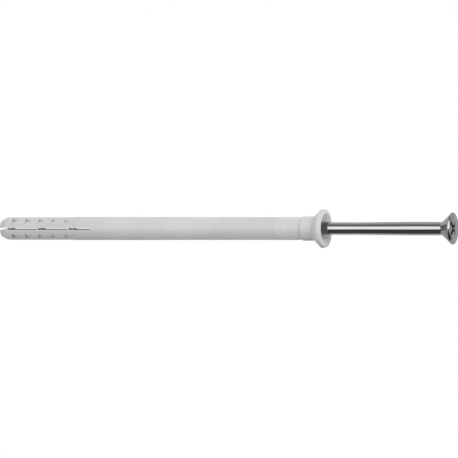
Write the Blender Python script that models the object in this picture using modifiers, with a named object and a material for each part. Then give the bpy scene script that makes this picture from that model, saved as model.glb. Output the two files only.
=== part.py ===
"""Hammer fixing plug: a slit nylon sleeve with a collar, and the screw nail that is driven into it.

The fixing lies along +X, its tip at the low end and the nail's head at the high end, with the lowest
point of the collar on z = 0. Each piece is modelled upright, its tip at the origin, and then laid down.
All sizes are in metres.
"""
import math

import bmesh
import bpy
from mathutils import Matrix, Vector

# Nail, measured along its axis from the face of the head
NAIL_LENGTH = 0.125
HEAD_DIAMETER = 0.01115
HEAD_RIM_HEIGHT = 0.0006
HEAD_EDGE_ROUND = 0.0002
HEAD_CONE_ANGLE = math.radians(40)
HEAD_NECK_FILLET = 0.0008
SHANK_DIAMETER = 0.0048
SHANK_LENGTH = 0.0112
WAIST_DIAMETER = 0.0044
WAIST_TAPER_LENGTH = 0.020
WAIST_LENGTH = 0.0100
THREAD_DIAMETER = 0.0048
THREAD_SHOULDER = 0.0006
POINT_LENGTH = 0.0026
POINT_FLAT_DIAMETER = 0.0018

# Cross recess in the nail's head
RECESS_SPAN = 0.0072
RECESS_WIDTH = 0.00125
RECESS_DEPTH = 0.0030
RECESS_CORE_DIAMETER = 0.0030
RECESS_DRAFT = 0.42
RECESS_TURN = math.radians(31)

# How the nail stands in the sleeve as supplied
NAIL_STAND_OUT = 0.0476
BORE_CLEARANCE = 0.0003
NAIL_TIP_ROOM = 0.0021

# Sleeve, measured along its axis from the tip
SLEEVE_LENGTH = 0.120
TIP_DIAMETER = 0.0054
TIP_EDGE_ROUND = 0.0002
TIP_CHAMFER_LENGTH = 0.0021
TIP_SHOULDER_ROUND = 0.0026
BARBED_DIAMETER = 0.0077
BARBED_LENGTH = 0.0262
BARBED_RUN_OUT = 0.0008
BODY_DIAMETER = 0.00793
BODY_LENGTH = 0.0345
GRIP_DIAMETER = 0.00786
PILOT_BORE_DIAMETER = 0.0010
FUNNEL_LENGTH = 0.0035

# Rings and groove below the collar, measured back from the neck
RING_COUNT = 2
RING_PITCH = 0.0026
RING_HEIGHT = 0.00007
RING_WIDTH = 0.0008
RING_SETBACK = 0.0017
GROOVE_DIAMETER = 0.00774
GROOVE_LENGTH = 0.0024

# Collar, measured back from its front edge
COLLAR_LIP = 0.00138
COLLAR_RIM_THICKNESS = 0.0015
COLLAR_EDGE_ROUND = 0.0002
FACE_RISE = 0.0004
FLARE_LENGTH = 0.0032
FLARE_FILLET = 0.0014
NECK_DIAMETER = 0.00836
NECK_LENGTH = 0.0034
HEAD_SEAT_OVERLAP = 0.0003

# Slit and the webs that bridge it
SLIT_LENGTH = 0.0338
SLIT_WIDTH = 0.00073
SLIT_ROLL = math.radians(2.5)
FIRST_WEB = 0.0032
WEB_PITCH = 0.0112
WEB_COUNT = 3
THIN_WEB = 0.0003
STOUT_WEB = 0.0011

# Barb notches, in rows on both sides of each mouth of the slit
BARB_COUNT = 5
FIRST_BARB = 0.00455
BARB_PITCH = 0.0049
BARB_DEPTH = 0.00045
BARB_DEPTH_STEP = 0.00004
BARB_FLOOR_ANGLE = math.radians(17)
BARB_ROW_ANGLE = math.radians(41)
BARB_LEDGE_OFFSET = 0.0009

# Facets
SLEEVE_STEPS = 48
NAIL_STEPS = 32
ARC_STEPS = 3
SHARP_ANGLE = math.radians(25)
MERGE = 0.00001
CUT_MARGIN = 0.001

FIXING_LENGTH = SLEEVE_LENGTH + NAIL_STAND_OUT
HEAD_RADIUS = HEAD_DIAMETER / 2
BORE_RADIUS = THREAD_DIAMETER / 2 + BORE_CLEARANCE
SEAT_RADIUS = HEAD_RADIUS - HEAD_SEAT_OVERLAP
COLLAR_RADIUS = SEAT_RADIUS + COLLAR_LIP
NAIL_TIP_STATION = FIXING_LENGTH - NAIL_LENGTH


def clear_scene():
    """Removes every object that the file opens with."""
    for obj in list(bpy.data.objects):
        bpy.data.objects.remove(obj, do_unlink=True)


def new_collection(name):
    """Makes a collection in the scene."""
    collection = bpy.data.collections.new(name)
    bpy.context.scene.collection.children.link(collection)
    return collection


def new_material(name, color, roughness, metallic):
    """Makes a plain Principled material."""
    material = bpy.data.materials.new(name)
    material.use_nodes = True
    shader = material.node_tree.nodes["Principled BSDF"]
    shader.inputs["Base Color"].default_value = (*color, 1)
    shader.inputs["Roughness"].default_value = roughness
    shader.inputs["Metallic"].default_value = metallic
    return material


def new_object(name, mesh, collection):
    """Links a mesh into a collection as an object."""
    obj = bpy.data.objects.new(name, mesh)
    collection.objects.link(obj)
    return obj


def arc_at(before, corner, after, radius):
    """Rounds one corner of an outline. The round never takes more than half of either side."""
    toward_before = (before - corner).normalized()
    toward_after = (after - corner).normalized()
    half_angle = toward_before.angle(toward_after) / 2
    reach = radius / math.tan(half_angle)
    reach = min(reach, (before - corner).length / 2, (after - corner).length / 2)
    radius = reach * math.tan(half_angle)
    centre = corner + (toward_before + toward_after).normalized() * (radius / math.sin(half_angle))
    first = corner + toward_before * reach - centre
    last = corner + toward_after * reach - centre
    start = math.atan2(first.y, first.x)
    sweep = math.remainder(math.atan2(last.y, last.x) - start, math.tau)
    angles = [start + sweep * step / ARC_STEPS for step in range(ARC_STEPS + 1)]
    return [centre + Vector((math.cos(angle), math.sin(angle))) * radius for angle in angles]


def rounded(corners):
    """Turns corners of (radius, height, round) into outline points, with an arc where a round is given."""
    spots = [Vector((radius, height)) for radius, height, _ in corners]
    points = []
    for place, (_, _, bend) in enumerate(corners):
        if bend > 0:
            points += arc_at(spots[place - 1], spots[place], spots[(place + 1) % len(spots)], bend)
        else:
            points.append(spots[place])
    return points


def turned(name, points, closed, steps, collection):
    """Turns an outline about the Z axis. The outline starts at the top and runs down its outer side."""
    outline = bpy.data.meshes.new(name + "_outline")
    edges = [(place, place + 1) for place in range(len(points) - 1)]
    if closed:
        edges.append((len(points) - 1, 0))
    outline.from_pydata([(point.x, 0, point.y) for point in points], edges, [])
    obj = new_object(name, outline, collection)
    screw = obj.modifiers.new("turn", "SCREW")
    screw.axis = "Z"
    screw.steps = steps
    screw.render_steps = steps
    screw.use_merge_vertices = True
    screw.merge_threshold = MERGE
    graph = bpy.context.evaluated_depsgraph_get()
    obj.data = bpy.data.meshes.new_from_object(obj.evaluated_get(graph))
    obj.modifiers.remove(screw)
    bpy.data.meshes.remove(outline)
    obj.data.shade_smooth()
    obj.data.set_sharp_from_angle(angle=SHARP_ANGLE)
    return obj


def cutter(name, shape, collection):
    """Makes a hidden cutting object from a bmesh."""
    mesh = bpy.data.meshes.new(name)
    shape.to_mesh(mesh)
    shape.free()
    obj = new_object(name, mesh, collection)
    obj.hide_render = True
    obj.display_type = "WIRE"
    return obj


def cut(obj, tool):
    """Cuts an object with a cutter that lies in the object's own upright space."""
    tool.matrix_world = obj.matrix_world
    boolean = obj.modifiers.new(tool.name, "BOOLEAN")
    boolean.operation = "DIFFERENCE"
    boolean.solver = "EXACT"
    boolean.object = tool


def lay_down(obj, tip_station, roll):
    """Lays an upright piece along +X with its tip at a station of the fixing, turned about its axis."""
    place = Matrix.Translation((tip_station - FIXING_LENGTH / 2, 0, COLLAR_RADIUS))
    obj.matrix_world = place @ Matrix.Rotation(math.pi / 2, 4, "Y") @ Matrix.Rotation(roll, 4, "Z")


def collar_corners():
    """The collar from the mouth of its seat, over the front edge and down the flare to the neck."""
    rim_back = SLEEVE_LENGTH - COLLAR_RIM_THICKNESS
    flare_start = rim_back - FLARE_LENGTH
    neck = NECK_DIAMETER / 2
    return [
        (SEAT_RADIUS, SLEEVE_LENGTH + FACE_RISE, COLLAR_EDGE_ROUND / 2),
        (COLLAR_RADIUS, SLEEVE_LENGTH, COLLAR_EDGE_ROUND),
        (COLLAR_RADIUS, rim_back, COLLAR_EDGE_ROUND / 2),
        (neck, flare_start, FLARE_FILLET),
        (neck, flare_start - NECK_LENGTH, 0),
    ]


def ring_corners(groove_start):
    """The fine rings behind the groove, from the one nearest the collar."""
    corners = []
    for ring in range(RING_COUNT):
        middle = groove_start - RING_SETBACK - ring * RING_PITCH
        corners += [
            (GRIP_DIAMETER / 2, middle + RING_WIDTH / 2, 0),
            (GRIP_DIAMETER / 2 + RING_HEIGHT, middle, 0),
            (GRIP_DIAMETER / 2, middle - RING_WIDTH / 2, 0),
        ]
    return corners


def body_corners():
    """The outside of the sleeve from the groove behind the collar down to the tip."""
    neck_start = SLEEVE_LENGTH - COLLAR_RIM_THICKNESS - FLARE_LENGTH - NECK_LENGTH
    groove_start = neck_start - GROOVE_LENGTH
    barbs_end = BARBED_LENGTH + BARBED_RUN_OUT
    body_end = barbs_end + BODY_LENGTH
    return [
        (GROOVE_DIAMETER / 2, neck_start, 0),
        (GROOVE_DIAMETER / 2, groove_start, 0),
        (GRIP_DIAMETER / 2, groove_start - RING_WIDTH / 2, 0),
        *ring_corners(groove_start),
        (GRIP_DIAMETER / 2, body_end + BARBED_RUN_OUT, 0),
        (BODY_DIAMETER / 2, body_end, 0),
        (BODY_DIAMETER / 2, barbs_end, 0),
        (BARBED_DIAMETER / 2, BARBED_LENGTH, 0),
        (BARBED_DIAMETER / 2, TIP_CHAMFER_LENGTH, TIP_SHOULDER_ROUND),
        (TIP_DIAMETER / 2, 0, TIP_EDGE_ROUND),
    ]


def bore_corners():
    """The bore from the tip up: pilot hole, funnel, nail bore and the seat for the nail's head."""
    bore_end = NAIL_TIP_STATION - NAIL_TIP_ROOM
    seat_depth = (SEAT_RADIUS - BORE_RADIUS) / math.tan(HEAD_CONE_ANGLE)
    return [
        (PILOT_BORE_DIAMETER / 2, 0, 0),
        (PILOT_BORE_DIAMETER / 2, bore_end - FUNNEL_LENGTH, 0),
        (BORE_RADIUS, bore_end, 0),
        (BORE_RADIUS, SLEEVE_LENGTH + FACE_RISE - seat_depth, 0),
    ]


def slit_stretches():
    """The open stretches of the slit between its webs, as (low, high) heights."""
    low = -CUT_MARGIN
    stretches = []
    for web in range(WEB_COUNT):
        start = FIRST_WEB + web * WEB_PITCH
        stretches.append((low, start))
        low = start + (STOUT_WEB if web == WEB_COUNT - 1 else THIN_WEB)
    stretches.append((low, SLIT_LENGTH))
    return stretches


def slit_cutter(collection):
    """One box for each open stretch of the slit, right through both walls along Y."""
    shape = bmesh.new()
    across = BODY_DIAMETER + 2 * CUT_MARGIN
    for low, high in slit_stretches():
        size = Matrix.Diagonal((SLIT_WIDTH, across, high - low, 1))
        place = Matrix.Translation((0, 0, (low + high) / 2))
        bmesh.ops.create_cube(shape, size=1, matrix=place @ size)
    return cutter("slit_cutter", shape, collection)


def barb_matrix(barb, angle):
    """The frame of one notch: its origin on the foot of the step, X up the step and Z along the floor."""
    depth = BARB_DEPTH - barb * BARB_DEPTH_STEP
    foot = Vector((BARBED_DIAMETER / 2 - depth, 0, FIRST_BARB + barb * BARB_PITCH))
    tilt = Matrix.Rotation(BARB_FLOOR_ANGLE, 4, "Y")
    return Matrix.Rotation(angle, 4, "Z") @ Matrix.Translation(foot) @ tilt


def barb_cutter(collection):
    """A flat-floored notch for each barb, in a row on both sides of both mouths of the slit.

    A notch ends at a ledge on its slit side and runs out of the round surface on its other side.
    """
    shape = bmesh.new()
    height = BARBED_DIAMETER / 4
    width = BARBED_DIAMETER / 2
    floor = BARB_PITCH * 0.8
    size = Matrix.Diagonal((height, width, floor, 1))
    for mouth in (math.pi / 2, -math.pi / 2):
        for side in (-1, 1):
            middle = Matrix.Translation((height / 2, side * (width / 2 - BARB_LEDGE_OFFSET), floor / 2))
            for barb in range(BARB_COUNT):
                notch = barb_matrix(barb, mouth + side * BARB_ROW_ANGLE)
                bmesh.ops.create_cube(shape, size=1, matrix=notch @ middle @ size)
    return cutter("barb_cutter", shape, collection)


def build_sleeve(parts, cutters):
    """The nylon sleeve, moulded in one piece."""
    points = rounded(collar_corners() + body_corners() + bore_corners())
    sleeve = turned("plug_sleeve", points, True, SLEEVE_STEPS, parts)
    lay_down(sleeve, 0, SLIT_ROLL)
    cut(sleeve, slit_cutter(cutters))
    cut(sleeve, barb_cutter(cutters))
    sleeve.data.materials.append(new_material("grey_nylon", (0.62, 0.62, 0.61), 0.45, 0))
    return sleeve


def nail_corners():
    """The nail from the face of its head down to the point."""
    face = NAIL_LENGTH
    cone_top = face - HEAD_RIM_HEIGHT
    shank_top = cone_top - (HEAD_RADIUS - SHANK_DIAMETER / 2) / math.tan(HEAD_CONE_ANGLE)
    taper_top = shank_top - SHANK_LENGTH
    waist_top = taper_top - WAIST_TAPER_LENGTH
    waist_end = waist_top - WAIST_LENGTH
    return [
        (0, face, 0),
        (HEAD_RADIUS, face, HEAD_EDGE_ROUND),
        (HEAD_RADIUS, cone_top, HEAD_EDGE_ROUND),
        (SHANK_DIAMETER / 2, shank_top, HEAD_NECK_FILLET),
        (SHANK_DIAMETER / 2, taper_top, 0),
        (WAIST_DIAMETER / 2, waist_top, 0),
        (WAIST_DIAMETER / 2, waist_end, 0),
        (THREAD_DIAMETER / 2, waist_end - THREAD_SHOULDER, 0),
        (THREAD_DIAMETER / 2, POINT_LENGTH, 0),
        (POINT_FLAT_DIAMETER / 2, 0, 0),
        (0, 0, 0),
    ]


def wing_cutter(name, angle, collection):
    """One wing of the cross: a slot through the head's middle that narrows towards its floor."""
    shape = bmesh.new()
    height = RECESS_DEPTH + CUT_MARGIN
    size = Matrix.Diagonal((RECESS_SPAN, RECESS_WIDTH, height, 1))
    bmesh.ops.create_cube(shape, size=1, matrix=size)
    for vertex in shape.verts:
        if vertex.co.z < 0:
            vertex.co.x *= RECESS_DRAFT
            vertex.co.y *= 1 - RECESS_DRAFT / 2
    top = NAIL_LENGTH + CUT_MARGIN
    place = Matrix.Rotation(angle, 4, "Z") @ Matrix.Translation((0, 0, top - height / 2))
    bmesh.ops.transform(shape, matrix=place, verts=shape.verts)
    return cutter(name, shape, collection)


def core_cutter(collection):
    """The round middle of the cross recess, a blunt cone."""
    shape = bmesh.new()
    height = RECESS_DEPTH + CUT_MARGIN
    place = Matrix.Translation((0, 0, NAIL_LENGTH + CUT_MARGIN - height / 2))
    bmesh.ops.create_cone(
        shape, cap_ends=True, segments=NAIL_STEPS // 2, matrix=place, depth=height,
        radius1=RECESS_CORE_DIAMETER / 2 * RECESS_DRAFT, radius2=RECESS_CORE_DIAMETER / 2,
    )
    return cutter("recess_core_cutter", shape, collection)


def build_nail(parts, cutters):
    """The steel screw nail with its countersunk head and cross recess."""
    nail = turned("nail_screw", rounded(nail_corners()), False, NAIL_STEPS, parts)
    lay_down(nail, NAIL_TIP_STATION, 0)
    cut(nail, wing_cutter("recess_wing_cutter_a", RECESS_TURN, cutters))
    cut(nail, wing_cutter("recess_wing_cutter_b", RECESS_TURN + math.pi / 2, cutters))
    cut(nail, core_cutter(cutters))
    nail.data.materials.append(new_material("bright_zinc", (0.66, 0.67, 0.68), 0.18, 1))
    return nail


def main():
    clear_scene()
    parts = new_collection("hammer_fixing_plug")
    cutters = new_collection("cutters")
    build_sleeve(parts, cutters)
    build_nail(parts, cutters)


main()
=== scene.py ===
"""Looks of the hammer fixing plug: a grey moulded nylon sleeve with a bright screw nail in it.

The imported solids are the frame. Both pieces are rebuilt finer round the same axis: geometry nodes
turn their outlines, cut the slit, the barbs and the cross recess, and sweep the nail's thread.
Outlines are drawn upright, with stations measured up from the sleeve's tip, and then laid along +X.
All sizes are in metres.
"""

import logging
import math
from dataclasses import dataclass
from enum import Enum
from typing import Any, Sequence

import bmesh
import bpy
from mathutils import Euler, Matrix, Vector


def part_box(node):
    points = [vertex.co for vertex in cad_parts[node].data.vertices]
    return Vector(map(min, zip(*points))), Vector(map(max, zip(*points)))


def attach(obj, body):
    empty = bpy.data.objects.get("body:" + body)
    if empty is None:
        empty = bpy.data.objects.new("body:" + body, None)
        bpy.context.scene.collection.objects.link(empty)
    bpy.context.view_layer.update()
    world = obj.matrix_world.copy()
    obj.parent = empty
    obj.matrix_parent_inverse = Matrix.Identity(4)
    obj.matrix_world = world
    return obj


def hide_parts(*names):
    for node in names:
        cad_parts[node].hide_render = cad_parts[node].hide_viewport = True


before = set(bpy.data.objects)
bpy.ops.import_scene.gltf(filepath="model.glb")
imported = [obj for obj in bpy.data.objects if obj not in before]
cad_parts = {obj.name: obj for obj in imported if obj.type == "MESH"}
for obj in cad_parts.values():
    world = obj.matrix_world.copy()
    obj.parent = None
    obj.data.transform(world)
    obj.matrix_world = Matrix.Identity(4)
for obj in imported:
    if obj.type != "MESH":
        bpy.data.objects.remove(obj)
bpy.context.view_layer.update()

Pair = tuple[float, float]
Triple = tuple[float, float, float]

LOG = logging.getLogger("hammer_fixing_plug")
BODY = "root"
MERGE = 1e-7
SHARP_ANGLE = math.radians(26)
WHITE_LEVEL = 1.0
WHITE = (1.0, 1.0, 1.0, 1.0)

# Places of the Mix node's colour sockets, whose names its other kinds share.
MIX_COLOURS = (6, 7)
MIX_RESULT = 2


class Slot(Enum):
    """The record's material slots."""

    NYLON = "nylon"
    ZINC = "zinc"


class Wire:
    """A node's output socket, on which Python's operators add Math nodes."""

    def __init__(self, sheet: "NodeSheet", socket: bpy.types.NodeSocket) -> None:
        """Keeps the socket and the sheet that it lies on."""
        self.sheet = sheet
        self.socket = socket

    def _math(self, operation: str, *values: "Value") -> "Wire":
        """Adds one Math node over the values."""
        return self.sheet.node("ShaderNodeMath", {"operation": operation}, dict(enumerate(values)))

    def __add__(self, other: "Value") -> "Wire":
        """Adds a number or a wire."""
        return self._math("ADD", self, other)

    __radd__ = __add__

    def __sub__(self, other: "Value") -> "Wire":
        """Takes a number or a wire away."""
        return self._math("SUBTRACT", self, other)

    def __rsub__(self, other: "Value") -> "Wire":
        """Takes this wire away from a number."""
        return self._math("SUBTRACT", other, self)

    def __mul__(self, other: "Value") -> "Wire":
        """Multiplies by a number or a wire."""
        return self._math("MULTIPLY", self, other)

    __rmul__ = __mul__

    def __truediv__(self, other: "Value") -> "Wire":
        """Divides by a number or a wire."""
        return self._math("DIVIDE", self, other)

    def __rtruediv__(self, other: "Value") -> "Wire":
        """Divides a number by this wire."""
        return self._math("DIVIDE", other, self)

    def __pow__(self, other: "Value") -> "Wire":
        """Raises to a power."""
        return self._math("POWER", self, other)

    def above(self, limit: "Value") -> "Wire":
        """1 where this wire is over the limit, and 0 elsewhere."""
        return self._math("GREATER_THAN", self, limit)

    def highest(self, other: "Value") -> "Wire":
        """The larger of two values."""
        return self._math("MAXIMUM", self, other)

    def angle_from(self, other: "Value") -> "Wire":
        """The angle whose tangent is this wire over another, from -pi to pi."""
        return self._math("ARCTAN2", self, other)

    def size(self) -> "Wire":
        """The value without its sign."""
        return self._math("ABSOLUTE", self)

    def rise(self, low: float, high: float) -> "Wire":
        """A smooth step from 0 at low to 1 at high.

        Args:
            low: Value at which the step starts.
            high: Value at which the step ends; below low for a step that falls.

        Returns:
            The step as a wire.
        """
        settings = {"interpolation_type": "SMOOTHSTEP"}
        ends = {"Value": self, "From Min": low, "From Max": high}
        return self.sheet.node("ShaderNodeMapRange", settings, ends)


Value = float | Wire


class NodeSheet:
    """A node tree with one way to add a node."""

    def __init__(self, tree: bpy.types.NodeTree) -> None:
        """Keeps the tree that the nodes go into."""
        self.tree = tree

    @classmethod
    def emptied(cls, owner: bpy.types.Material | bpy.types.World) -> "NodeSheet":
        """Empties the node tree of a material or a world.

        Args:
            owner: Material or world.

        Returns:
            The sheet on its tree.
        """
        owner.use_nodes = True
        owner.node_tree.nodes.clear()
        return cls(owner.node_tree)

    def node(
        self, kind: str, settings: dict[str, Any] | None = None,
        sockets: dict[int | str, Any] | None = None, output: int | str = 0,
    ) -> Wire:
        """Adds a node: its settings first, then its sockets.

        Args:
            kind: Node type, such as ShaderNodeMath.
            settings: Properties of the node, such as a Math node's operation.
            sockets: Values, wires or lists of wires, by input name or place.
            output: Name or place of the output that is returned.

        Returns:
            The output socket as a wire.
        """
        made = self.tree.nodes.new(kind)
        for name, value in (settings or {}).items():
            setattr(made, name, value)
        for place, value in (sockets or {}).items():
            self._feed(made.inputs[place], value)
        return Wire(self, made.outputs[output])

    def end(self, kind: str, shader: Wire) -> None:
        """Adds the output node of the tree and links the shader to it."""
        self._feed(self.tree.nodes.new(kind).inputs["Surface"], shader)

    def _feed(self, socket: bpy.types.NodeSocket, value: Any) -> None:
        """Links a socket to one wire or several, or sets its own value.

        Args:
            socket: Input socket of a node.
            value: Wire, list of wires or plain value.
        """
        if isinstance(value, Wire):
            self.tree.links.new(value.socket, socket)
        elif isinstance(value, list):
            for wire in value:
                self.tree.links.new(wire.socket, socket)
        else:
            socket.default_value = value

    def vector(self, x: Value, y: Value, z: Value) -> Wire:
        """Joins three values into a vector."""
        return self.node("ShaderNodeCombineXYZ", {}, {0: x, 1: y, 2: z})

    def parts_of(self, vector: Wire) -> tuple[Wire, Wire, Wire]:
        """Splits a vector into its three values.

        Args:
            vector: Vector to split.

        Returns:
            The values along X, Y and Z.
        """
        first = self.node("ShaderNodeSeparateXYZ", {}, {0: vector})
        outputs = first.socket.node.outputs
        return first, Wire(self, outputs[1]), Wire(self, outputs[2])


class ShapeTree(NodeSheet):
    """A geometry node tree that is grown once on an object and then made a plain mesh."""

    def __init__(self, name: str) -> None:
        """Makes the tree with its geometry input and output.

        Args:
            name: Name of the tree.
        """
        super().__init__(bpy.data.node_groups.new(name, "GeometryNodeTree"))
        for way in ("INPUT", "OUTPUT"):
            self.tree.interface.new_socket("Geometry", in_out=way, socket_type="NodeSocketGeometry")
        self.values: dict[str, Any] = {}
        self.entry = self.tree.nodes.new("NodeGroupInput")

    @property
    def geometry(self) -> Wire:
        """The geometry of the object that the tree grows on."""
        return Wire(self, self.entry.outputs[0])

    def given(self, name: str, value: Any, kind: str = "Float") -> Wire:
        """Adds a named input.

        Args:
            name: What the input is called.
            value: What the modifier sets it to.
            kind: Socket type: Float, Int, Vector or Material.

        Returns:
            The input as a wire.
        """
        item = self.tree.interface.new_socket(name, in_out="INPUT", socket_type=f"NodeSocket{kind}")
        self.values[item.identifier] = value
        return Wire(self, self.entry.outputs[name])

    def box(self, size: Wire | Triple) -> Wire:
        """A cube of a given size about the origin."""
        return self.node("GeometryNodeMeshCube", {}, {"Size": size})

    def moved(self, shape: Wire, place: Triple = (0, 0, 0), turn: Triple = (0, 0, 0)) -> Wire:
        """Turns a shape about the origin, by angles about X, Y and Z, and then moves it."""
        sockets = {"Geometry": shape, "Translation": place, "Rotation": Euler(turn)}
        return self.node("GeometryNodeTransform", {}, sockets)

    def joined(self, shapes: list[Wire]) -> Wire:
        """Puts several geometries into one."""
        return self.node("GeometryNodeJoinGeometry", {}, {0: shapes})

    def cut(self, base: Wire, tools: list[Wire]) -> Wire:
        """Cuts a closed mesh with closed meshes or instances, none of which overlaps itself."""
        settings = {"operation": "DIFFERENCE", "solver": "EXACT"}
        return self.node("GeometryNodeMeshBoolean", settings, {"Mesh 1": base, "Mesh 2": tools})

    def united(self, shapes: list[Wire]) -> Wire:
        """Unites closed meshes into one."""
        settings = {"operation": "UNION", "solver": "EXACT"}
        return self.node("GeometryNodeMeshBoolean", settings, {"Mesh 2": shapes})

    def grow_on(self, obj: bpy.types.Object, shape: Wire, finish: bpy.types.Material) -> None:
        """Ends the tree in real, dressed geometry and leaves it on an object as a plain mesh.

        Args:
            obj: Object whose mesh is the tree's input and then its result.
            shape: Geometry that the tree makes.
            finish: Material of every face.
        """
        material = self.given("Finish", finish, "Material")
        real = self.node("GeometryNodeRealizeInstances", {}, {0: shape})
        dressed = self.node("GeometryNodeSetMaterial", {}, {"Geometry": real, "Material": material})
        self._feed(self.tree.nodes.new("NodeGroupOutput").inputs[0], dressed)
        modifier = obj.modifiers.new(self.tree.name, "NODES")
        modifier.node_group = self.tree
        for identifier, value in self.values.items():
            modifier[identifier] = value
        graph = bpy.context.evaluated_depsgraph_get()
        obj.data = bpy.data.meshes.new_from_object(obj.evaluated_get(graph))
        obj.data.name = obj.name
        obj.modifiers.remove(modifier)


def put_in_scene(name: str, data: bpy.types.ID) -> bpy.types.Object:
    """Makes an object and links it to the scene.

    Args:
        name: Name of the object.
        data: Its mesh, lamp or camera.

    Returns:
        The object.
    """
    obj = bpy.data.objects.new(name, data)
    bpy.context.scene.collection.objects.link(obj)
    return obj


@dataclass(frozen=True)
class Corner:
    """One corner of a turned outline: its radius, its station up the axis, and the round on it."""

    radius: float
    station: float
    bend: float = 0.0


@dataclass(frozen=True)
class Outline:
    """The half section of a turned piece, from the top down its outer side."""

    corners: Sequence[Corner]
    closed: bool
    arc_steps: int = 7

    def _arc(self, place: int) -> list[Vector]:
        """Finds the points of the round on one corner, which takes at most half of either side.

        Args:
            place: Place of the corner in the outline.

        Returns:
            The points along the arc.
        """
        spots = [Vector((corner.radius, corner.station)) for corner in self.corners]
        corner, before, after = spots[place], spots[place - 1], spots[(place + 1) % len(spots)]
        back, ahead = (before - corner).normalized(), (after - corner).normalized()
        half_angle = back.angle(ahead) / 2
        reach = self.corners[place].bend / math.tan(half_angle)
        reach = min(reach, (before - corner).length / 2, (after - corner).length / 2)
        radius = reach * math.tan(half_angle)
        centre = corner + (back + ahead).normalized() * (radius / math.sin(half_angle))
        first, last = corner + back * reach - centre, corner + ahead * reach - centre
        start = math.atan2(first.y, first.x)
        sweep = math.remainder(math.atan2(last.y, last.x) - start, math.tau)
        angles = [start + sweep * step / self.arc_steps for step in range(self.arc_steps + 1)]
        return [centre + Vector((math.cos(angle), math.sin(angle))) * radius for angle in angles]

    def points(self) -> list[Vector]:
        """Finds the outline's points, with an arc wherever a corner has a round.

        Returns:
            The points, radius first and station second.
        """
        found: list[Vector] = []
        for place, corner in enumerate(self.corners):
            sharp = [Vector((corner.radius, corner.station))]
            found += self._arc(place) if corner.bend > 0 else sharp
        return found

    def as_object(self, name: str) -> bpy.types.Object:
        """Makes an object of the bare outline, radius along X and station along Z.

        Args:
            name: Name of the object.

        Returns:
            The object, linked to the scene.
        """
        points = self.points()
        edges = [(place, place + 1) for place in range(len(points) - 1)]
        if self.closed:
            edges.append((len(points) - 1, 0))
        mesh = bpy.data.meshes.new(name)
        mesh.from_pydata([(point.x, 0, point.y) for point in points], edges, [])
        return put_in_scene(name, mesh)


def turned(tree: ShapeTree, outline: Wire, segments: int) -> Wire:
    """Turns an outline about Z into a closed mesh.

    Args:
        tree: Tree that the nodes go into.
        outline: Mesh edges with their radius along X and their station along Z.
        segments: Facets round the axis.

    Returns:
        The turned mesh.
    """
    path_radius = 0.001
    flat = tree.moved(outline, (-path_radius, 0, 0), (math.pi / 2, 0, 0))
    profile = tree.node("GeometryNodeMeshToCurve", {}, {0: flat})
    facets = tree.given("Segments", segments, "Int")
    ring = {"Resolution": facets, "Radius": path_radius}
    path = tree.node("GeometryNodeCurvePrimitiveCircle", {}, ring)
    skin = tree.node("GeometryNodeCurveToMesh", {}, {"Curve": path, "Profile Curve": profile})
    return tree.node("GeometryNodeMergeByDistance", {}, {0: skin, "Distance": MERGE})


@dataclass(frozen=True)
class Axis:
    """The fixing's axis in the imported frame, where upright pieces are laid along +X."""

    tip: float
    height: float

    @classmethod
    def from_frame(cls) -> "Axis":
        """Reads the tip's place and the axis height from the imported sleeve."""
        low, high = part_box("plug_sleeve")
        return cls(low.x, (low.z + high.z) / 2)

    def lay(self, tree: ShapeTree, shape: Wire, roll: float = 0.0) -> Wire:
        """Rolls upright geometry about its axis and lays it along +X in the frame's own place."""
        rolled = tree.moved(shape, turn=(0, 0, roll))
        return tree.moved(rolled, (self.tip, 0, self.height), (0, math.pi / 2, 0))


def smooth(obj: bpy.types.Object) -> None:
    """Closes the tiny edges that cuts leave, faces the mesh outwards and shades it smooth.

    Args:
        obj: Object whose mesh is finished, with its sharp edges kept.
    """
    shape = bmesh.new()
    shape.from_mesh(obj.data)
    bmesh.ops.dissolve_degenerate(shape, dist=MERGE, edges=shape.edges)
    if shape.calc_volume(signed=True) < 0:
        bmesh.ops.reverse_faces(shape, faces=shape.faces)
    shape.to_mesh(obj.data)
    shape.free()
    obj.data.shade_smooth()
    obj.data.set_sharp_from_angle(angle=SHARP_ANGLE)


def stand_in_for(obj: bpy.types.Object, node: str) -> None:
    """Lets a finished piece ride on the body and stand for its solid.

    Args:
        obj: Finished piece.
        node: Solid that it stands for.
    """
    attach(obj, BODY)
    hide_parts(node)
    LOG.info("%s stands for %s: %d faces", obj.name, node, len(obj.data.polygons))


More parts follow.
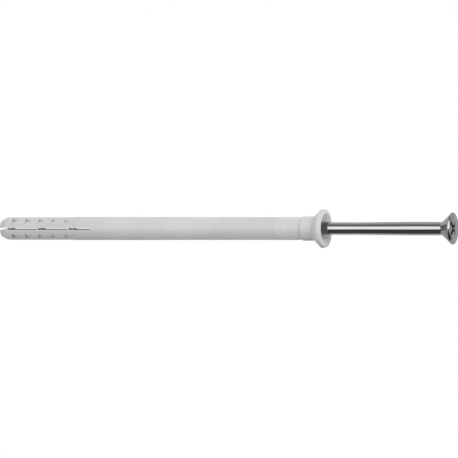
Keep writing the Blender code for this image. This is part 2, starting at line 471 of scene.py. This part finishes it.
class FinishSheet(NodeSheet):
    """A material's node tree, with the textures that both finishes use."""

    def __init__(self, name: str) -> None:
        """Makes the material and keeps its shader.

        Args:
            name: Name of the material.
        """
        self.material = bpy.data.materials.new(name)
        self.material.use_nodes = True
        super().__init__(self.material.node_tree)
        self.shader = self.tree.nodes["Principled BSDF"]
        self.place = self.node("ShaderNodeTexCoord", output="Object")

    def noise(self, scale: Triple, detail: float = 2.0, roughness: float = 0.5) -> Wire:
        """Smooth noise about 0.5.

        Args:
            scale: Waves per metre along X, Y and Z.
            detail: How many finer layers it has.
            roughness: How strong each finer layer is.

        Returns:
            The noise value.
        """
        factors = {0: self.place, 1: scale}
        spot = self.node("ShaderNodeVectorMath", {"operation": "MULTIPLY"}, factors)
        sockets = {"Vector": spot, "Scale": 1.0, "Detail": detail, "Roughness": roughness}
        return self.node("ShaderNodeTexNoise", {}, sockets)

    def mixed(self, factor: Value, first: Triple | Wire, second: Triple | Wire) -> Wire:
        """Mixes two colours.

        Args:
            factor: Share of the second colour.
            first: Colour at 0.
            second: Colour at 1.

        Returns:
            The mixed colour.
        """
        sockets: dict[int | str, Any] = {0: factor}
        for place, colour in zip(MIX_COLOURS, (first, second)):
            sockets[place] = colour if isinstance(colour, Wire) else (*colour, 1.0)
        return self.node("ShaderNodeMix", {"data_type": "RGBA"}, sockets, output=MIX_RESULT)

    def bumped(self, height: Wire, depth: float, strength: float) -> Wire:
        """Turns a height into a shading normal, where a height of 1 is the depth in metres."""
        sockets = {"Height": height, "Distance": depth, "Strength": strength}
        return self.node("ShaderNodeBump", {}, sockets)

    def dress(self, **sockets: Any) -> bpy.types.Material:
        """Feeds the shader's sockets.

        Args:
            sockets: Values or wires by socket name, with spaces written as underscores.

        Returns:
            The finished material.
        """
        for name, value in sockets.items():
            self._feed(self.shader.inputs[name.replace("_", " ")], value)
        return self.material


@dataclass(frozen=True)
class MouldedNylon:
    """Light grey moulded nylon: satin, clouded, with flow lines, a fine grain and painted shade on
    the tip.
    """

    pale: Triple = (0.64, 0.643, 0.64)
    deep: Triple = (0.58, 0.584, 0.583)
    # Painted shade: these tip fields darken the colour towards the tip, the end away from the lamp.
    tip_shade_tone: Triple = (0.55, 0.554, 0.555)
    tip_shade_share: float = 0.50
    tip_shade_fade: Pair = (-0.025, -0.065)
    cloud_scale: float = 140.0
    flow_scale: Triple = (60.0, 1500.0, 1500.0)
    grain_scale: float = 6500.0
    tone_shares: Triple = (0.6, 0.25, 0.15)
    tone_limits: Pair = (0.3, 0.7)
    roughness: float = 0.42
    roughness_spread: float = 0.14
    grain_depth: float = 0.000012
    grain_strength: float = 0.35
    relief_shares: Pair = (0.7, 0.3)
    specular: float = 0.45

    def material(self) -> bpy.types.Material:
        """Builds the node material.

        Returns:
            The material.
        """
        sheet = FinishSheet("moulded_nylon")
        clouds = sheet.noise((self.cloud_scale,) * 3, detail=3.0)
        flow = sheet.noise(self.flow_scale, detail=2.0)
        grain = sheet.noise((self.grain_scale,) * 3, detail=3.0, roughness=0.6)
        in_clouds, in_flow, in_grain = self.tone_shares
        tone = (clouds * in_clouds + flow * in_flow + grain * in_grain).rise(*self.tone_limits)
        relief = grain * self.relief_shares[0] + flow * self.relief_shares[1]
        along, _, _ = sheet.parts_of(sheet.place)
        # Painted shade: the colour darkens towards the tip, standing for the shade that falls there.
        tip = along.rise(*self.tip_shade_fade) * self.tip_shade_share
        return sheet.dress(
            Base_Color=sheet.mixed(tip, sheet.mixed(tone, self.deep, self.pale), self.tip_shade_tone),
            Roughness=self.roughness + (grain - 0.5) * self.roughness_spread,
            Normal=sheet.bumped(relief, self.grain_depth, self.grain_strength),
            Specular_IOR_Level=self.specular,
        )


@dataclass(frozen=True)
class BrightZinc:
    """Bright zinc on steel: drawn mirror shank, grainy pressed head, rougher rolled thread in
    painted shade.
    """

    pale: Triple = (0.60, 0.61, 0.62)
    deep: Triple = (0.50, 0.51, 0.525)
    pressed: Triple = (0.26, 0.265, 0.275)
    recess: Triple = (0.42, 0.425, 0.43)
    # Painted shade: the thread's colour, kept dark to stand for the shade inside the collar's seat.
    rolled: Triple = (0.20, 0.205, 0.21)
    line_scale: Triple = (90.0, 5200.0, 5200.0)
    grain_scale: float = 3600.0
    fine_scale: float = 11000.0
    line_limits: Pair = (0.3, 0.7)
    worn_limits: Pair = (0.45, 0.8)
    speckle_shares: Pair = (0.7, 0.3)
    speckle_limits: Pair = (0.35, 0.68)
    mirror_roughness: float = 0.07
    worn_roughness: float = 0.07
    head_roughness: float = 0.14
    speckle_roughness: float = 0.10
    rolled_roughness: float = 0.30
    edge_blend: float = 0.0003
    head_blend: float = 0.0006
    recess_fade: Pair = (0.0001, 0.0004)
    recess_margin: float = 0.0001
    recess_share: float = 0.7
    line_depth: float = 0.0000025
    grain_depth: float = 0.000022
    grain_strength: float = 0.6
    face_margin: float = 0.0003
    crown_start: float = 0.0011
    crown_end: float = 0.0056
    crown_depth: float = 0.0010
    crown_roughness: float = 0.08
    crown_blend: float = 0.15

    def material(
        self, thread_end: float, head_start: float, face: float, recess_radius: float,
        height: float,
    ) -> bpy.types.Material:
        """Builds the node material.

        Args:
            thread_end: Place along X where the thread stops.
            head_start: Place along X where the shank runs into the head's cone.
            face: Place along X of the head's face.
            recess_radius: Reach of the cross recess from the axis.
            height: Height of the axis.

        Returns:
            The material.
        """
        sheet = FinishSheet("bright_zinc")
        along, across, up = sheet.parts_of(sheet.place)
        lines = sheet.noise(self.line_scale, detail=3.0, roughness=0.6)
        grain = sheet.noise((self.grain_scale,) * 3, detail=4.0, roughness=0.65)
        fine = sheet.noise((self.fine_scale,) * 3, detail=2.0)
        head = along.rise(head_start - self.head_blend, head_start + self.head_blend)
        reach = (across ** 2 + (up - height) ** 2) ** 0.5
        sunk = along.rise(face - self.recess_fade[0], face - self.recess_fade[1])
        sunk = sunk * reach.rise(recess_radius + self.recess_margin, recess_radius)
        sunk = sunk * along.above(head_start)
        in_grain, in_fine = self.speckle_shares
        speckle = (grain * in_grain + fine * in_fine).rise(*self.speckle_limits)
        dark = sheet.mixed(head, self.deep, self.pressed)
        tone = lines.rise(*self.line_limits) * (1 - head) + speckle * head
        # The thread is made rougher, and its colour is darkened towards rolled as painted shade.
        thread_shade_and_roughness = along.rise(thread_end + self.edge_blend, thread_end - self.edge_blend)
        plated = sheet.mixed(thread_shade_and_roughness, sheet.mixed(tone, dark, self.pale), self.rolled)
        worn = lines.rise(*self.worn_limits) * self.worn_roughness
        shank_rough = self.mirror_roughness + worn + thread_shade_and_roughness * self.rolled_roughness
        on_face = along.above(face - self.face_margin)
        crown = on_face * reach.rise(self.crown_start, self.crown_end)
        head_rough = self.head_roughness + speckle * self.speckle_roughness
        polish = crown.rise(0.0, self.crown_blend)
        head_rough = head_rough + polish * (self.crown_roughness - head_rough)
        relief = lines * (1 - head) * (self.line_depth / self.grain_depth) + grain * head
        relief = relief - crown ** 2 * (self.crown_depth / self.grain_depth)
        return sheet.dress(
            Base_Color=sheet.mixed(sunk * self.recess_share, plated, self.recess),
            Roughness=shank_rough * (1 - head) + head_rough * head,
            Metallic=1.0,
            Normal=sheet.bumped(relief, self.grain_depth, self.grain_strength),
        )


@dataclass(frozen=True)
class PlugSleeve:
    """The nylon sleeve: tip, slit and barbs, stepped body, rings, neck, collar and bore."""

    axis: Axis
    length: float = 0.120
    tip_radius: float = 0.0027
    tip_round: float = 0.0002
    chamfer: float = 0.0021
    shoulder_round: float = 0.0026
    barbed_radius: float = 0.00385
    barbed_length: float = 0.0262
    step_run: float = 0.0008
    body_radius: float = 0.003965
    body_length: float = 0.0345
    grip_radius: float = 0.00393
    ring_count: int = 6
    ring_pitch: float = 0.00124
    ring_height: float = 0.00016
    ring_width: float = 0.0005
    ring_setback: float = 0.0008
    groove_radius: float = 0.00389
    groove_length: float = 0.0019
    undercut_radius: float = 0.00376
    undercut_length: float = 0.0003
    neck_radius: float = 0.00418
    neck_length: float = 0.0044
    flare_length: float = 0.0026
    flare_round: float = 0.0010
    collar_radius: float = 0.006655
    collar_rim: float = 0.0011
    collar_round: float = 0.0002
    face_rise: float = 0.0004
    seat_radius: float = 0.005275
    seat_angle: float = math.radians(50)
    bore_radius: float = 0.0027
    bore_start: float = 0.0405
    funnel: float = 0.0035
    pilot_radius: float = 0.0005
    pin_tip: float = 0.0254
    pin_radius: float = 0.0008
    slit_length: float = 0.0339
    slit_width: float = 0.00052
    tip_slit_width: float = 0.00076
    roll: float = math.radians(2.5)
    webs: tuple[Pair, ...] = ((0.00305, 0.0003), (0.01435, 0.0003), (0.0258, 0.0003))
    barb_count: int = 5
    first_barb: float = 0.00455
    barb_pitch: float = 0.0049
    barb_reach: float = 0.00135
    barb_reach_step: float = 0.00014
    barb_aside: float = 0.00266
    barb_shelf_angle: float = math.radians(26)
    barb_shelf: float = 0.0026
    barb_wall: float = 0.0018
    barb_run: float = 0.0028
    barb_slope: float = 0.58
    flash_height: float = 0.00003
    flash_clearance: float = 0.00025
    segments: int = 192
    overcut: float = 0.001

    def _collar(self) -> list[Corner]:
        """Lists the corners from the mouth of the seat over the collar to the end of the neck.

        Returns:
            The corners in order.
        """
        rim_back = self.length - self.collar_rim
        flare_start = rim_back - self.flare_length
        return [
            Corner(self.seat_radius, self.length + self.face_rise, self.collar_round / 2),
            Corner(self.collar_radius, self.length, self.collar_round),
            Corner(self.collar_radius, rim_back, self.collar_round / 2),
            Corner(self.neck_radius, flare_start, self.flare_round),
            Corner(self.neck_radius, flare_start - self.neck_length),
        ]

    def _rings(self, groove_start: float) -> list[Corner]:
        """Lists the corners of the fine rings behind the groove, every second one lower.

        Args:
            groove_start: Station where the groove starts.

        Returns:
            Three corners for each ring.
        """
        corners = []
        for ring in range(self.ring_count):
            middle = groove_start - self.ring_setback - ring * self.ring_pitch
            height = self.ring_height / (1 + ring % 2)
            corners += [
                Corner(self.grip_radius, middle + self.ring_width / 2),
                Corner(self.grip_radius + height, middle, self.ring_width),
                Corner(self.grip_radius, middle - self.ring_width / 2),
            ]
        return corners

    def _body(self) -> list[Corner]:
        """Lists the corners of the outside from the groove down to the tip.

        Returns:
            The corners in order.
        """
        neck_start = self.length - self.collar_rim - self.flare_length - self.neck_length
        groove_start = neck_start - self.groove_length
        barbs_end = self.barbed_length + self.step_run
        body_end = barbs_end + self.body_length
        return [
            Corner(self.undercut_radius, neck_start),
            Corner(self.undercut_radius, neck_start - self.undercut_length),
            Corner(self.groove_radius, neck_start - self.undercut_length),
            Corner(self.groove_radius, groove_start),
            Corner(self.grip_radius, groove_start - self.ring_width / 2),
            *self._rings(groove_start),
            Corner(self.grip_radius, body_end + self.step_run),
            Corner(self.body_radius, body_end),
            Corner(self.body_radius, barbs_end),
            Corner(self.barbed_radius, self.barbed_length),
            Corner(self.barbed_radius, self.chamfer, self.shoulder_round),
            Corner(self.tip_radius, 0, self.tip_round),
        ]

    def _bore(self) -> list[Corner]:
        """Lists the corners of the bore from the tip up to the seat.

        Returns:
            The corners in order.
        """
        seat_depth = (self.seat_radius - self.bore_radius) / math.tan(self.seat_angle)
        return [
            Corner(self.pilot_radius, 0),
            Corner(self.pilot_radius, self.pin_tip),
            Corner(self.pin_radius, self.pin_tip + self.pin_radius - self.pilot_radius),
            Corner(self.pin_radius, self.bore_start - self.funnel),
            Corner(self.bore_radius, self.bore_start),
            Corner(self.bore_radius, self.length + self.face_rise - seat_depth),
        ]

    def _slit(self, tree: ShapeTree) -> Wire:
        """Makes boxes for the open stretches of the slit between its webs.

        Args:
            tree: Tree that the nodes go into.

        Returns:
            The joined boxes.
        """
        width = tree.given("Slit width", self.slit_width)
        tip_width = tree.given("Slit width at the tip", self.tip_slit_width)
        lows = [-self.overcut, *(start + web for start, web in self.webs)]
        highs = [*(start for start, _ in self.webs), self.slit_length]
        boxes = []
        for low, high in zip(lows, highs):
            gap = tip_width if low < 0 else width
            size = tree.vector(gap, 2 * (self.body_radius + self.overcut), high - low)
            boxes.append(tree.moved(tree.box(size), (0, 0, (low + high) / 2)))
        return tree.joined(boxes)

    def _barbs(self, tree: ShapeTree) -> Wire:
        """Makes the notches, a row on both sides of both mouths of the slit.

        Each has a square step towards the tip, a shelf on the side of the slit, and a wall behind
        it that faces the mouth; their corner runs out through the skin towards the collar.

        Args:
            tree: Tree that the nodes go into.

        Returns:
            The notches as instances.
        """
        pitch = tree.given("Barb pitch", self.barb_pitch)
        count = tree.given("Barb count", self.barb_count, "Int")
        reach = tree.given("Barb reach", self.barb_reach)
        slope = tree.given("Barb slope", self.barb_slope)
        offset = tree.vector(self.barb_reach_step, 0.0, pitch)
        _, _, up = tree.parts_of(tree.node("GeometryNodeInputPosition"))
        run_out = tree.vector(up * slope, 0.0, 0.0)
        block = tree.box((self.barb_shelf, self.barb_wall, self.barb_run))
        rows = []
        for side in (-1, 1):
            start = tree.vector(reach, side * self.barb_aside, self.first_barb)
            line = {"Count": count, "Start Location": start, "Offset": offset}
            feet = tree.node("GeometryNodeMeshLine", {}, line)
            middle = (self.barb_shelf / 2, side * self.barb_wall / 2, self.barb_run / 2)
            wedge = tree.moved(block, middle)
            wedge = tree.moved(wedge, turn=(0, 0, -side * self.barb_shelf_angle))
            bent = {"Geometry": wedge, "Offset": run_out}
            notch = tree.node("GeometryNodeSetPosition", {}, bent)
            row = tree.node("GeometryNodeInstanceOnPoints", {}, {"Points": feet, "Instance": notch})
            rows += [tree.moved(row, turn=(0, 0, mouth)) for mouth in (math.pi / 2, -math.pi / 2)]
        return tree.joined(rows)

    def _flashed(self, tree: ShapeTree, skin: Wire) -> Wire:
        """Raises the fine line that the two halves of the mould leave along the top and bottom.

        Args:
            tree: Tree that the nodes go into.
            skin: Turned mesh.

        Returns:
            The mesh with its line.
        """
        spot = tree.node("GeometryNodeInputPosition")
        across, aside, _ = tree.parts_of(spot)
        half_facet = self.bore_radius * math.pi / self.segments
        outside = across.size().above(self.bore_radius + self.flash_clearance)
        collar = across.size().above(self.neck_radius + self.flash_height)
        line = (1 - aside.size().above(half_facet)) * outside * (1 - collar)
        way = tree.vector(across / across.size(), 0.0, 0.0)
        height = line * self.flash_height
        lift = tree.node("ShaderNodeVectorMath", {"operation": "SCALE"}, {0: way, "Scale": height})
        return tree.node("GeometryNodeSetPosition", {}, {"Geometry": skin, "Offset": lift})

    def build(self, finish: MouldedNylon) -> bpy.types.Object:
        """Builds and dresses the sleeve.

        Args:
            finish: Finish of the moulding.

        Returns:
            The finished piece.
        """
        outline = Outline([*self._collar(), *self._body(), *self._bore()], closed=True)
        sleeve = outline.as_object("moulded_sleeve")
        tree = ShapeTree("slit_barbed_sleeve")
        blank = self._flashed(tree, turned(tree, tree.geometry, self.segments))
        cut = tree.cut(blank, [self._slit(tree), self._barbs(tree)])
        tree.grow_on(sleeve, self.axis.lay(tree, cut, self.roll), finish.material())
        smooth(sleeve)
        stand_in_for(sleeve, "plug_sleeve")
        return sleeve


@dataclass(frozen=True)
class CrossRecess:
    """The cross recess in the nail's head: two tapered wings through a blunt round core."""

    span: float = 0.0072
    width: float = 0.0014
    depth: float = 0.0030
    core_radius: float = 0.0015
    draft: float = 0.42
    turn: float = math.radians(45)
    core_facets: int = 48
    overcut: float = 0.001

    def cutters(self, tree: ShapeTree, face: float) -> list[Wire]:
        """Makes the tapered tools that cut the recess.

        Args:
            tree: Tree that the nodes go into.
            face: Station of the head's face.

        Returns:
            The tools.
        """
        height = self.depth + self.overcut
        span = tree.given("Recess span", self.span)
        box = tree.box(tree.vector(span, self.width, height))
        across, aside, up = tree.parts_of(tree.node("GeometryNodeInputPosition"))
        low = 1 - up.above(0.0)
        narrowed = across * (1 - low * (1 - self.draft))
        spot = tree.vector(narrowed, aside * (1 - low * self.draft / 2), up)
        wing = tree.node("GeometryNodeSetPosition", {}, {"Geometry": box, "Position": spot})
        middle = face + self.overcut - height / 2
        wings = [
            tree.moved(wing, (0, 0, middle), (0, 0, self.turn + quarter * math.pi / 2))
            for quarter in (0, 1)
        ]
        cone = {
            "Vertices": self.core_facets, "Radius Top": self.core_radius,
            "Radius Bottom": self.core_radius * self.draft, "Depth": height,
        }
        core = tree.moved(tree.node("GeometryNodeMeshCone", {}, cone), (0, 0, face - self.depth))
        return [*wings, core]


@dataclass(frozen=True)
class RolledThread:
    """The nail's rolled thread: a ridge along a helix, steep on the side of the head."""

    pitch: float = 0.0024
    crest_radius: float = 0.0024
    root_radius: float = 0.00208
    ridge_width: float = 0.0013
    crest_width: float = 0.0002
    lean: float = 0.0003
    sink: float = 0.0002
    steps_per_turn: int = 56
    run_out: float = 0.6
    end_scale: float = 0.2

    def ridge(self, tree: ShapeTree, low: float, high: float) -> Wire:
        """Sweeps the ridge along its helix.

        Args:
            tree: Tree that the nodes go into.
            low: Station where the thread starts.
            high: Station where it ends.

        Returns:
            The closed ridge.
        """
        pitch = tree.given("Thread pitch", self.pitch)
        turns = (high - low) / pitch
        sockets = {
            "Resolution": self.steps_per_turn, "Rotations": turns, "Height": high - low,
            "Start Radius": self.root_radius, "End Radius": self.root_radius,
        }
        helix = tree.node("GeometryNodeCurveSpiral", {}, sockets)
        upright = tree.node("GeometryNodeSetCurveNormal", {"mode": "Z_UP"}, {0: helix})
        crest = self.crest_radius - self.root_radius
        corners = {
            "Point 1": (self.sink, self.ridge_width / 2, 0),
            "Point 2": (-crest, self.crest_width / 2 - self.lean, 0),
            "Point 3": (-crest, -self.crest_width / 2 - self.lean, 0),
            "Point 4": (self.sink, -self.ridge_width / 2, 0),
        }
        section = tree.node("GeometryNodeCurvePrimitiveQuadrilateral", {"mode": "POINTS"}, corners)
        along = tree.node("GeometryNodeSplineParameter") * turns
        taper = along.rise(0.0, self.run_out) * (turns - along).rise(0.0, self.run_out)
        scale = taper * (1 - self.end_scale) + self.end_scale
        sockets = {"Curve": upright, "Profile Curve": section, "Scale": scale, "Fill Caps": True}
        return tree.moved(tree.node("GeometryNodeCurveToMesh", {}, sockets), (0, 0, low))


@dataclass(frozen=True)
class ScrewNail:
    """The steel screw nail: countersunk head with its recess, shank, waist, thread and point."""

    axis: Axis
    recess: CrossRecess
    thread: RolledThread
    face: float = 0.1676
    length: float = 0.125
    head_radius: float = 0.005575
    rim: float = 0.00022
    edge: float = 0.00004
    flat_radius: float = 0.0026
    crown_radius: float = 0.0043
    crown_drop: float = 0.00006
    crown_round: float = 0.001
    edge_round: float = 0.0002
    cone_angle: float = math.radians(41)
    neck_round: float = 0.0008
    shank_radius: float = 0.0024
    shank_length: float = 0.0113
    waist_radius: float = 0.0022
    taper_length: float = 0.020
    waist_length: float = 0.0100
    shoulder: float = 0.0006
    point_length: float = 0.0026
    point_radius: float = 0.0009
    segments: int = 160

    @property
    def cone_start(self) -> float:
        """Station where the shank meets the head's cone."""
        cone_height = (self.head_radius - self.shank_radius) / math.tan(self.cone_angle)
        return self.face - self.rim - cone_height

    @property
    def thread_end(self) -> float:
        """Station where the thread stops below the waist."""
        plain = self.shank_length + self.taper_length + self.waist_length + self.shoulder
        return self.cone_start - plain

    def _corners(self) -> list[Corner]:
        """Lists the corners from the face of the head down to the point.

        Returns:
            The corners in order.
        """
        cone_top = self.face - self.rim
        taper_top = self.cone_start - self.shank_length
        waist_top = taper_top - self.taper_length
        tip = self.face - self.length
        root = self.thread.root_radius
        return [
            Corner(0, self.face),
            Corner(self.flat_radius, self.face, self.crown_round),
            Corner(self.crown_radius, self.face - self.crown_drop, self.crown_round),
            Corner(self.head_radius, cone_top + self.edge, self.edge),
            Corner(self.head_radius, cone_top, self.edge / 2),
            Corner(self.shank_radius, self.cone_start, self.neck_round),
            Corner(self.shank_radius, taper_top),
            Corner(self.waist_radius, waist_top),
            Corner(self.waist_radius, waist_top - self.waist_length),
            Corner(self.shank_radius, self.thread_end, self.edge_round),
            Corner(self.shank_radius, self.thread_end - self.shoulder, self.edge_round),
            Corner(root, self.thread_end - 2 * self.shoulder),
            Corner(root, tip + self.point_length),
            Corner(self.point_radius, tip, self.edge_round),
            Corner(0, tip),
        ]

    def build(self, finish: BrightZinc) -> bpy.types.Object:
        """Builds and dresses the nail.

        Args:
            finish: Finish of the plated steel.

        Returns:
            The finished piece.
        """
        nail = Outline(self._corners(), closed=False).as_object("screw_nail")
        tree = ShapeTree("threaded_nail")
        blank = turned(tree, tree.geometry, self.segments)
        start = self.face - self.length + self.point_length / 2
        ridge = self.thread.ridge(tree, start, self.thread_end - self.shoulder)
        cut = tree.cut(tree.united([blank, ridge]), self.recess.cutters(tree, self.face))
        stations = (self.thread_end, self.cone_start, self.face)
        places = [self.axis.tip + station for station in stations]
        steel = finish.material(*places, self.recess.span / 2, self.axis.height)
        tree.grow_on(nail, self.axis.lay(tree, cut), steel)
        smooth(nail)
        stand_in_for(nail, "nail_screw")
        return nail


@dataclass(frozen=True)
class Softbox:
    """A soft lamp that faces the fixing, left out of reflections, which show the tent instead.

    Its direction is given by the angle round the fixing's axis, 0 towards -Y and 90 straight up,
    and by how far it stands off towards +X. Its power is in watts.
    """

    name: str
    angle: float
    distance: float
    width: float
    height: float
    shift: float
    power: float

    def light(self, aim: Vector) -> bpy.types.Object:
        """Hangs the lamp.

        Args:
            aim: Point that it faces.

        Returns:
            The lamp object.
        """
        lamp = bpy.data.lights.new(self.name, "AREA")
        lamp.shape = "RECTANGLE"
        lamp.size = self.width
        lamp.size_y = self.height
        lamp.energy = self.power
        obj = put_in_scene(self.name, lamp)
        turn = math.radians(self.angle)
        way = Vector((0, -math.cos(turn), math.sin(turn)))
        obj.location = aim + way * self.distance + Vector((self.shift, 0, 0))
        obj.rotation_euler = (aim - obj.location).to_track_quat("-Z", "X").to_euler()
        obj.visible_camera = False
        obj.visible_glossy = False
        return obj


@dataclass(frozen=True)
class Band:
    """An even stretch of the tent, between two angles in degrees or two places along X."""

    start: float
    end: float
    tone: float


@dataclass(frozen=True)
class Tent:
    """A paper tent round the set, with the bright and dark bands that the steel reflects.

    Only reflections see it. Its bands go round the fixing's axis, 0 towards -Y and 90 straight up,
    and the floor inside the tent carries them too. Its back carries them only beside the shank: the
    rest of it has plain bands that follow one another along X. The far left end of its front is
    dark, and a dark card lies on the floor beyond the head, wider with its distance.
    """

    axis_height: float
    radius: float = 0.7
    length: float = 8.0
    segments: int = 128
    floor_gap: float = 0.00003
    banded_back: tuple[float, float, float, float] = (-0.40, -0.30, -0.14, -0.04)
    plain_back: tuple[Band, ...] = (
        Band(-4.0, -2.1, 0.03),
        Band(-1.8, -0.4, 0.70),
        Band(-0.04, 0.62, 0.56),
        Band(0.70, 0.82, 0.16),
        Band(0.88, 4.0, 1.80),
    )
    card_start: Pair = (0.0890, 0.0905)
    card_corner: float = 0.0738
    card_spread: float = 0.5
    card_edge: float = 0.003
    card_tone: float = 0.03
    front_end: Pair = (-1.3, -1.6)
    front_end_tone: float = 0.04
    bands: tuple[Band, ...] = (
        Band(-180, -169, 1.40),
        Band(-165, -138, 0.12),
        Band(-130, -108, 0.46),
        Band(-95, -84, 0.30),
        Band(-76, -15, 0.065),
        Band(-12, 31, 1.40),
        Band(37, 56, 0.17),
        Band(85, 90, 0.40),
        Band(108, 127, 0.68),
        Band(133, 144, 0.28),
        Band(148, 180, 1.40),
    )

    def _blend(self, place: Wire, bands: Sequence[Band]) -> Wire:
        """Runs through the tones of a row of bands.

        Args:
            place: Where along the row.
            bands: Bands in their order.

        Returns:
            The tone there.
        """
        tone: Value = bands[0].tone
        for before, after in zip(bands, bands[1:]):
            tone = place.rise(before.end, after.start) * (after.tone - before.tone) + tone
        return tone

    def _paper(self) -> bpy.types.Material:
        """Makes the banded paper.

        Returns:
            The material.
        """
        material = bpy.data.materials.new("tent_paper")
        sheet = NodeSheet.emptied(material)
        along, across, up = sheet.parts_of(sheet.node("ShaderNodeTexCoord", output="Object"))
        angle = (up - self.axis_height).angle_from(-1 * across) * (180 / math.pi)
        back = across.above(0.0)
        start, full, fade, end = self.banded_back
        plain = (1 - along.rise(start, full) * along.rise(end, fade)) * back
        front_end = along.rise(*self.front_end) * (1 - back) * (1 - self.front_end_tone)
        banded = self._blend(angle, self.bands) * (1 - front_end)
        level = banded * (1 - plain) + self._blend(along, self.plain_back) * plain
        low = 1 - up.above(self.axis_height)
        beyond = across - (along - self.card_corner) * self.card_spread
        card = low * back * along.rise(*self.card_start) * beyond.rise(self.card_edge, 0.0)
        level = level * (1 - card) + card * self.card_tone
        sheet.end("ShaderNodeOutputMaterial", sheet.node("ShaderNodeEmission", {}, {"Color": level}))
        return material

    def pitch(self) -> bpy.types.Object:
        """Stands the tent up.

        Returns:
            The tent object.
        """
        shape = bmesh.new()
        bmesh.ops.create_cone(
            shape, segments=self.segments, radius1=self.radius, radius2=self.radius,
            depth=self.length, matrix=Matrix.Rotation(math.pi / 2, 4, "Y"),
        )
        floor = bmesh.ops.create_grid(shape, x_segments=1, y_segments=1, size=0.5)["verts"]
        bmesh.ops.scale(shape, vec=(self.length, 2 * self.radius, 1), verts=floor)
        bmesh.ops.translate(shape, vec=(0, 0, self.floor_gap), verts=floor)
        mesh = bpy.data.meshes.new("reflection_tent")
        shape.to_mesh(mesh)
        shape.free()
        tent = put_in_scene("reflection_tent", mesh)
        tent.visible_camera = False
        tent.visible_diffuse = False
        tent.visible_shadow = False
        tent.visible_transmission = False
        mesh.materials.append(self._paper())
        return tent


@dataclass(frozen=True)
class Studio:
    """Pale floor, even room, soft lamp, reflection tent and camera at the photograph's angle."""

    axis: Axis
    azimuth: float = math.radians(21.3)
    view_width: float = 0.15865
    aim_x: float = 0.0004
    aim_drop: float = 0.000175
    camera_distance: float = 0.6
    floor_span: float = 6.0
    floor_tone: float = 0.77
    floor_lift: float = 0.32
    room_level: float = 0.81
    gloss_level: float = 0.50
    softbox: Softbox = Softbox(
        "front_softbox", angle=48, distance=0.9, width=0.9, height=0.45, shift=0.90, power=7.0
    )

    def _seen(self, sheet: NodeSheet) -> Wire:
        """Tells rays from the camera or through clear things from the rest.

        Args:
            sheet: Sheet that the nodes go onto.

        Returns:
            1 for those rays, a share of it for reflections and 0 for the rest.
        """
        sight = sheet.node("ShaderNodeLightPath", output="Is Camera Ray")
        outputs = sight.socket.node.outputs
        through = Wire(sheet, outputs["Is Transmission Ray"])
        glossy = Wire(sheet, outputs["Is Glossy Ray"])
        share = (self.gloss_level - self.room_level) / (WHITE_LEVEL - self.room_level)
        return sight.highest(through).highest(glossy * share)

    def light_room(self) -> None:
        """Lights the room evenly, with a white background for the camera."""
        world = bpy.data.worlds.new("studio")
        bpy.context.scene.world = world
        sheet = NodeSheet.emptied(world)
        strength = self.room_level + self._seen(sheet) * (WHITE_LEVEL - self.room_level)
        glow = sheet.node("ShaderNodeBackground", {}, {"Color": WHITE, "Strength": strength})
        sheet.end("ShaderNodeOutputWorld", glow)

    def lay_floor(self) -> None:
        """Lays the pale floor, a little brighter to the camera so that it meets the background."""
        shape = bmesh.new()
        bmesh.ops.create_grid(shape, x_segments=1, y_segments=1, size=self.floor_span / 2)
        mesh = bpy.data.meshes.new("studio_floor")
        shape.to_mesh(mesh)
        shape.free()
        floor = put_in_scene("studio_floor", mesh)
        material = bpy.data.materials.new("pale_floor")
        sheet = NodeSheet.emptied(material)
        tone = (self.floor_tone, self.floor_tone, self.floor_tone, 1)
        matte = sheet.node("ShaderNodeBsdfDiffuse", {}, {"Color": tone})
        lift = self._seen(sheet) * self.floor_lift
        glow = sheet.node("ShaderNodeEmission", {}, {"Color": WHITE, "Strength": lift})
        both = sheet.node("ShaderNodeAddShader", {}, {0: matte, 1: glow})
        sheet.end("ShaderNodeOutputMaterial", both)
        mesh.materials.append(material)

    def set_camera(self) -> None:
        """Sets the camera at the photograph's angle, level with the fixing."""
        camera = bpy.data.cameras.new("photo_camera")
        camera.type = "ORTHO"
        camera.ortho_scale = self.view_width
        obj = put_in_scene("photo_camera", camera)
        back = Vector((math.sin(self.azimuth), -math.cos(self.azimuth), 0))
        aim = Vector((self.aim_x, 0, self.axis.height - self.aim_drop))
        obj.location = aim + back * self.camera_distance
        obj.rotation_euler = back.to_track_quat("Z", "Y").to_euler()
        bpy.context.scene.camera = obj

    def build(self) -> None:
        """Sets the whole studio up."""
        self.light_room()
        self.lay_floor()
        self.softbox.light(Vector((0, 0, self.axis.height)))
        Tent(self.axis.height).pitch()
        self.set_camera()


def main() -> None:
    """Builds the sleeve, the nail and the studio in order."""
    logging.basicConfig(level=logging.INFO, format="%(message)s")
    axis = Axis.from_frame()
    PlugSleeve(axis).build(MouldedNylon())
    ScrewNail(axis, CrossRecess(), RolledThread()).build(BrightZinc())
    Studio(axis).build()
    bpy.context.scene.view_settings.view_transform = "Standard"


if __name__ == "__main__":
    main()
